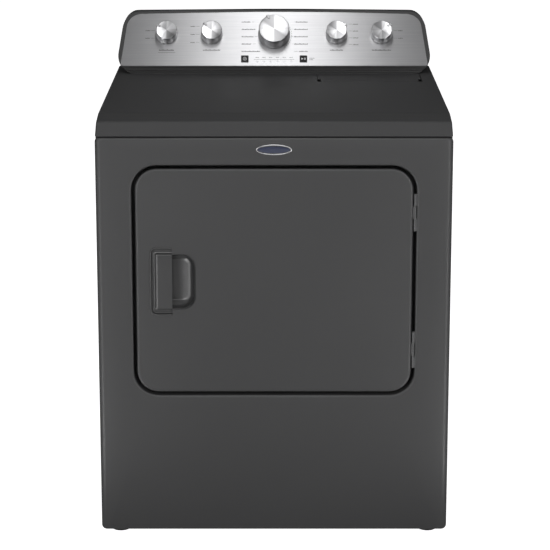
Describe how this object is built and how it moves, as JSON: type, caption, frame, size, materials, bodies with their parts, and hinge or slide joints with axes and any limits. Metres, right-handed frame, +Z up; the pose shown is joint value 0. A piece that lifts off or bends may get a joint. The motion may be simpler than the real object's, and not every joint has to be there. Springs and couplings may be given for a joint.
{
  "type": "clothes dryer",
  "caption": "Front-loading electric clothes dryer: side-swing door, sloped rear console with dials, lint screen in the top, tumbling drum, rear exhaust.",
  "frame": {"origin": "on the floor, under the middle of the whole machine's bounding box, exhaust stub included", "axes": "+Z up; -Y out of the door side, +Y out of the exhaust at the back; +X to the right of someone facing the door"},
  "size_m": [0.737, 0.7312, 1.043],
  "materials": {
    "charcoal_enamel": "smooth satin charcoal enamel",
    "bare_steel": "bare galvanised sheet",
    "brushed_plate": "fine horizontal brushing, clear coated",
    "knob_metal": "bright plated, spun face",
    "dark_plastic": "fine-grained black",
    "gloss_black": "polished black",
    "drum_enamel": "smooth pale grey enamel",
    "liner_enamel": "satin enamel",
    "pale_plastic": "plain moulded",
    "felt": "pressed felt",
    "rubber": "plain black",
    "lens": "clear-white light pipe",
    "board": "green board",
    "heating_wire": "oxidised resistance wire",
    "screw_steel": "zinc plated",
    "plate_metal": "dark satin plate with a bright rim",
    "filter_mesh": "fine woven mesh"
  },
  "bodies": {
    "cabinet": {"cabinet_side_left": "charcoal_enamel", "cabinet_side_right": "charcoal_enamel", "base_pan": "bare_steel", "front_panel": "charcoal_enamel", "rear_panel": "bare_steel", "top_panel": "charcoal_enamel", "front_bulkhead": "bare_steel", "rear_bulkhead": "bare_steel", "front_glides": "pale_plastic", "drum_seals": "felt", "lint_duct": "bare_steel", "blower_housing": "pale_plastic", "exhaust_pipe": "bare_steel", "motor_casing": "bare_steel", "heater_box": "bare_steel", "heater_coils": "heating_wire", "thermostats": "dark_plastic", "belt": "rubber", "roller_shafts": "bare_steel", "console_housing": "dark_plastic", "fascia": "brushed_plate", "control_board": "board", "indicator_lenses": "lens", "nameplate": "plate_metal", "door_strike": "pale_plastic", "door_switch": "dark_plastic", "terminal_block": "dark_plastic", "terminal_cover": "bare_steel", "cabinet_hinge_leaves": "bare_steel", "rear_screws": "screw_steel"},
    "door": {"door_skin": "charcoal_enamel", "door_inner": "liner_enamel", "door_handle": "dark_plastic", "door_catch": "bare_steel", "door_hinge_leaves": "bare_steel", "door_seal": "felt"},
    "lint_screen": {"lint_lid": "charcoal_enamel", "lint_screen": "dark_plastic", "lint_mesh": "filter_mesh"},
    "drum": {"drum": "drum_enamel", "drum_baffles": "pale_plastic"},
    "motor_rotor": {"motor_rotor": "bare_steel", "blower_wheel": "pale_plastic"},
    "cycle_knob": {"cycle_knob": "knob_metal"},
    "temperature_knob": {"temperature_knob": "knob_metal"},
    "extra_power_knob": {"extra_power_knob": "knob_metal"},
    "options_knob": {"options_knob": "knob_metal"},
    "cycle_signal_knob": {"cycle_signal_knob": "knob_metal"},
    "button_left": {"button_left": "gloss_black"},
    "button_right": {"button_right": "gloss_black"},
    "idler_arm": {"idler_arm": "bare_steel"},
    "idler_pulley": {"idler_pulley": "pale_plastic"},
    "roller_left": {"roller_left": "rubber"},
    "roller_right": {"roller_right": "rubber"},
    "door_switch_plunger": {"door_switch_plunger": "pale_plastic"},
    "foot_front_left": {"foot_front_left": "rubber"},
    "foot_front_right": {"foot_front_right": "rubber"},
    "foot_rear_left": {"foot_rear_left": "rubber"},
    "foot_rear_right": {"foot_rear_right": "rubber"}
  },
  "joints": [
    {"name": "door_hinge", "type": "hinge", "parent": "cabinet", "child": "door", "pos_m": [0.29225, -0.3629, 0.557], "axis": [0, 0, 1], "range_deg": [0, 120]},
    {"name": "cycle_knob_turn", "type": "hinge", "parent": "cabinet", "child": "cycle_knob", "pos_m": [0, 0.26433, 0.98931], "axis": [0, -0.829, 0.5592], "continuous": true},
    {"name": "temperature_knob_turn", "type": "hinge", "parent": "cabinet", "child": "temperature_knob", "pos_m": [-0.144, 0.26433, 0.98931], "axis": [0, -0.829, 0.5592], "range_deg": [0, 90]},
    {"name": "extra_power_knob_turn", "type": "hinge", "parent": "cabinet", "child": "extra_power_knob", "pos_m": [-0.248, 0.26433, 0.98931], "axis": [0, -0.829, 0.5592], "range_deg": [0, 45]},
    {"name": "options_knob_turn", "type": "hinge", "parent": "cabinet", "child": "options_knob", "pos_m": [0.144, 0.26433, 0.98931], "axis": [0, -0.829, 0.5592], "range_deg": [-60, 30]},
    {"name": "cycle_signal_knob_turn", "type": "hinge", "parent": "cabinet", "child": "cycle_signal_knob", "pos_m": [0.248, 0.26433, 0.98931], "axis": [0, -0.829, 0.5592], "range_deg": [-45, 0]},
    {"name": "button_left_press", "type": "slide", "parent": "cabinet", "child": "button_left", "axis": [0, 0.829, -0.5592], "range_m": [0, 0.0015], "stiffness_N_per_m": 300, "springref_m": -0.002},
    {"name": "button_right_press", "type": "slide", "parent": "cabinet", "child": "button_right", "axis": [0, 0.829, -0.5592], "range_m": [0, 0.0015], "stiffness_N_per_m": 300, "springref_m": -0.002},
    {"name": "lint_screen_slide", "type": "slide", "parent": "cabinet", "child": "lint_screen", "axis": [0, 0, 1], "range_m": [0, 0.43]},
    {"name": "drum_spin", "type": "hinge", "parent": "cabinet", "child": "drum", "pos_m": [0, -0.3044, 0.54], "axis": [0, 1, 0], "continuous": true},
    {"name": "motor_spin", "type": "hinge", "parent": "cabinet", "child": "motor_rotor", "pos_m": [0.19, -0.0344, 0.135], "axis": [0, 1, 0], "continuous": true},
    {"name": "idler_arm_swing", "type": "hinge", "parent": "cabinet", "child": "idler_arm", "pos_m": [0.01542, -0.0644, 0.06689], "axis": [0, 1, 0], "range_deg": [0, 8], "stiffness_Nm_per_rad": 5, "springref_deg": -11.46},
    {"name": "idler_pulley_spin", "type": "hinge", "parent": "idler_arm", "child": "idler_pulley", "pos_m": [0.06542, -0.0644, 0.13689], "axis": [0, 1, 0], "continuous": true},
    {"name": "roller_left_spin", "type": "hinge", "parent": "cabinet", "child": "roller_left", "pos_m": [-0.175, 0.1356, 0.21394], "axis": [0, 1, 0], "continuous": true},
    {"name": "roller_right_spin", "type": "hinge", "parent": "cabinet", "child": "roller_right", "pos_m": [0.175, 0.1356, 0.21394], "axis": [0, 1, 0], "continuous": true},
    {"name": "door_switch_slide", "type": "slide", "parent": "cabinet", "child": "door_switch_plunger", "axis": [0, -1, 0], "range_m": [0, 0.006]},
    {"name": "foot_front_left_screw", "type": "slide", "parent": "cabinet", "child": "foot_front_left", "axis": [0, 0, -1], "range_m": [0, 0.025]},
    {"name": "foot_front_right_screw", "type": "slide", "parent": "cabinet", "child": "foot_front_right", "axis": [0, 0, -1], "range_m": [0, 0.025]},
    {"name": "foot_rear_left_screw", "type": "slide", "parent": "cabinet", "child": "foot_rear_left", "axis": [0, 0, -1], "range_m": [0, 0.025]},
    {"name": "foot_rear_right_screw", "type": "slide", "parent": "cabinet", "child": "foot_rear_right", "axis": [0, 0, -1], "range_m": [0, 0.025]}
  ],
  "couplings": [
    {"joint": "motor_spin", "follows": "drum_spin", "ratio": 30.182},
    {"joint": "idler_pulley_spin", "follows": "drum_spin", "ratio": -13.28},
    {"joint": "roller_left_spin", "follows": "drum_spin", "ratio": -8.7368},
    {"joint": "roller_right_spin", "follows": "drum_spin", "ratio": -8.7368},
    {"joint": "door_switch_slide", "follows": "door_hinge", "m_per_rad": 0.00286}
  ]
}
